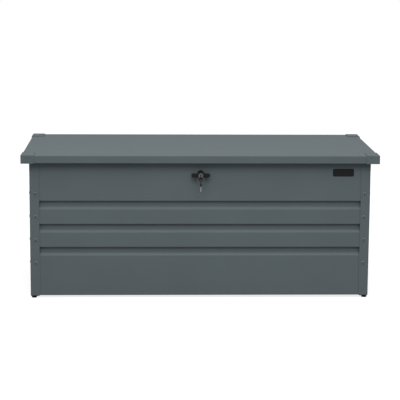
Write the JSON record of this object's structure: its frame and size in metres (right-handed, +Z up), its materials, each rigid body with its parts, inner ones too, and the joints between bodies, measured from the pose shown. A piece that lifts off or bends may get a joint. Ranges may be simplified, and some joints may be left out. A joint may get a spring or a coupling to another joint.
{
  "type": "garden storage chest",
  "caption": "Long garden storage chest of folded sheet steel with pressed grooves, screwed corner posts, an overlapping flat lid on gas struts and a T-handle cam lock.",
  "frame": {"origin": "on the ground, under the middle of the lid sheet", "axes": "+X along the front to the right of someone facing it, +Y from front to back, +Z up"},
  "size_m": [1.6, 0.7646, 0.658],
  "materials": {
    "wall_paint": "fine textured powder coat, matt",
    "lid_paint": "fine textured powder coat, matt",
    "cap_paint": "moulded, matched to the lid",
    "screw_paint": "painted with the walls",
    "floor_paint": "fine textured powder coat, matt",
    "black_plastic": "moulded, matt",
    "black_lock": "satin black over a zinc casting",
    "chrome": "satin nickel over a zinc casting",
    "bright_steel": "nickel plated",
    "dark_steel": "burnished dark",
    "key_plastic": "moulded, matt",
    "zinc": "zinc plated",
    "strut_black": "gloss black paint",
    "rod_chrome": "ground and plated",
    "seal_rubber": "matt"
  },
  "bodies": {
    "chest": {"front_panel": "wall_paint", "rear_panel": "wall_paint", "left_panel": "wall_paint", "right_panel": "wall_paint", "corner_screws": "screw_paint", "front_rail": "wall_paint", "rear_rail": "wall_paint", "left_rail": "wall_paint", "right_rail": "wall_paint", "rim_seal": "seal_rubber", "left_floor": "floor_paint", "right_floor": "floor_paint", "floor_joiner": "floor_paint", "hinge_pins": "zinc", "hinge_body_screws": "zinc", "lock_base": "black_lock", "lock_nut": "zinc", "left_front_post": "wall_paint", "left_rear_post": "wall_paint", "left_front_foot": "black_plastic", "left_rear_foot": "black_plastic", "left_strut_foot_bracket": "zinc", "right_front_post": "wall_paint", "right_rear_post": "wall_paint", "right_front_foot": "black_plastic", "right_rear_foot": "black_plastic", "right_strut_foot_bracket": "zinc", "left_hinge_body_leaf": "zinc", "middle_hinge_body_leaf": "zinc", "right_hinge_body_leaf": "zinc"},
    "lid": {"lid_panel": "lid_paint", "left_stiffener": "lid_paint", "middle_stiffener": "lid_paint", "right_stiffener": "lid_paint", "lid_catch": "zinc", "hinge_lid_screws": "zinc", "left_front_cap": "cap_paint", "left_rear_cap": "cap_paint", "left_strut_head_bracket": "zinc", "right_front_cap": "cap_paint", "right_rear_cap": "cap_paint", "right_strut_head_bracket": "zinc", "left_hinge_lid_leaf": "zinc", "middle_hinge_lid_leaf": "zinc", "right_hinge_lid_leaf": "zinc"},
    "left_strut_rod_body": {"left_strut_rod": "rod_chrome"},
    "left_strut_cylinder_body": {"left_strut_cylinder": "strut_black"},
    "right_strut_rod_body": {"right_strut_rod": "rod_chrome"},
    "right_strut_cylinder_body": {"right_strut_cylinder": "strut_black"},
    "handle_body": {"handle": "black_lock", "spindle": "zinc", "cam": "zinc", "cam_screw": "zinc"},
    "key_body": {"lock_plug": "chrome", "key_head": "key_plastic", "key_blade": "bright_steel"},
    "ring_body": {"key_ring": "dark_steel"},
    "spare_key_body": {"spare_key_head": "key_plastic", "spare_key_blade": "bright_steel"}
  },
  "joints": [
    {"name": "lid_hinge", "type": "hinge", "parent": "chest", "child": "lid", "pos_m": [0, 0.3705, 0.616], "axis": [-1, 0, 0], "range_deg": [0, 75]},
    {"name": "left_strut_pivot", "type": "hinge", "parent": "chest", "child": "left_strut_rod_body", "pos_m": [-0.728, 0.318, 0.5452], "axis": [-1, 0, 0], "range_deg": [0, 65.47]},
    {"name": "left_strut_stroke", "type": "slide", "parent": "left_strut_rod_body", "child": "left_strut_cylinder_body", "axis": [0, -0.9016, 0.4326], "range_m": [0, 0.09998]},
    {"name": "right_strut_pivot", "type": "hinge", "parent": "chest", "child": "right_strut_rod_body", "pos_m": [0.728, 0.318, 0.5452], "axis": [-1, 0, 0], "range_deg": [0, 65.47]},
    {"name": "right_strut_stroke", "type": "slide", "parent": "right_strut_rod_body", "child": "right_strut_cylinder_body", "axis": [0, -0.9016, 0.4326], "range_m": [0, 0.09998]},
    {"name": "handle_turn", "type": "hinge", "parent": "chest", "child": "handle_body", "pos_m": [0, -0.3391, 0.565], "axis": [0, 1, 0], "range_deg": [0, 90]},
    {"name": "key_turn", "type": "hinge", "parent": "handle_body", "child": "key_body", "pos_m": [0, -0.3671, 0.565], "axis": [0, 1, 0], "range_deg": [0, 90]},
    {"name": "key_ring_swing", "type": "hinge", "parent": "key_body", "child": "ring_body", "pos_m": [0, -0.3811, 0.563], "axis": [0, 1, 0], "range_deg": [-25, 25]},
    {"name": "spare_key_swing", "type": "hinge", "parent": "ring_body", "child": "spare_key_body", "pos_m": [0, -0.3811, 0.533], "axis": [1, 0, 0], "range_deg": [-40, 40]}
  ],
  "couplings": [
    {"joint": "left_strut_pivot", "follows": "lid_hinge", "ratio": 0.87293},
    {"joint": "left_strut_stroke", "follows": "lid_hinge", "m_per_rad": 0.076377},
    {"joint": "right_strut_pivot", "follows": "lid_hinge", "ratio": 0.87293},
    {"joint": "right_strut_stroke", "follows": "lid_hinge", "m_per_rad": 0.076377}
  ]
}
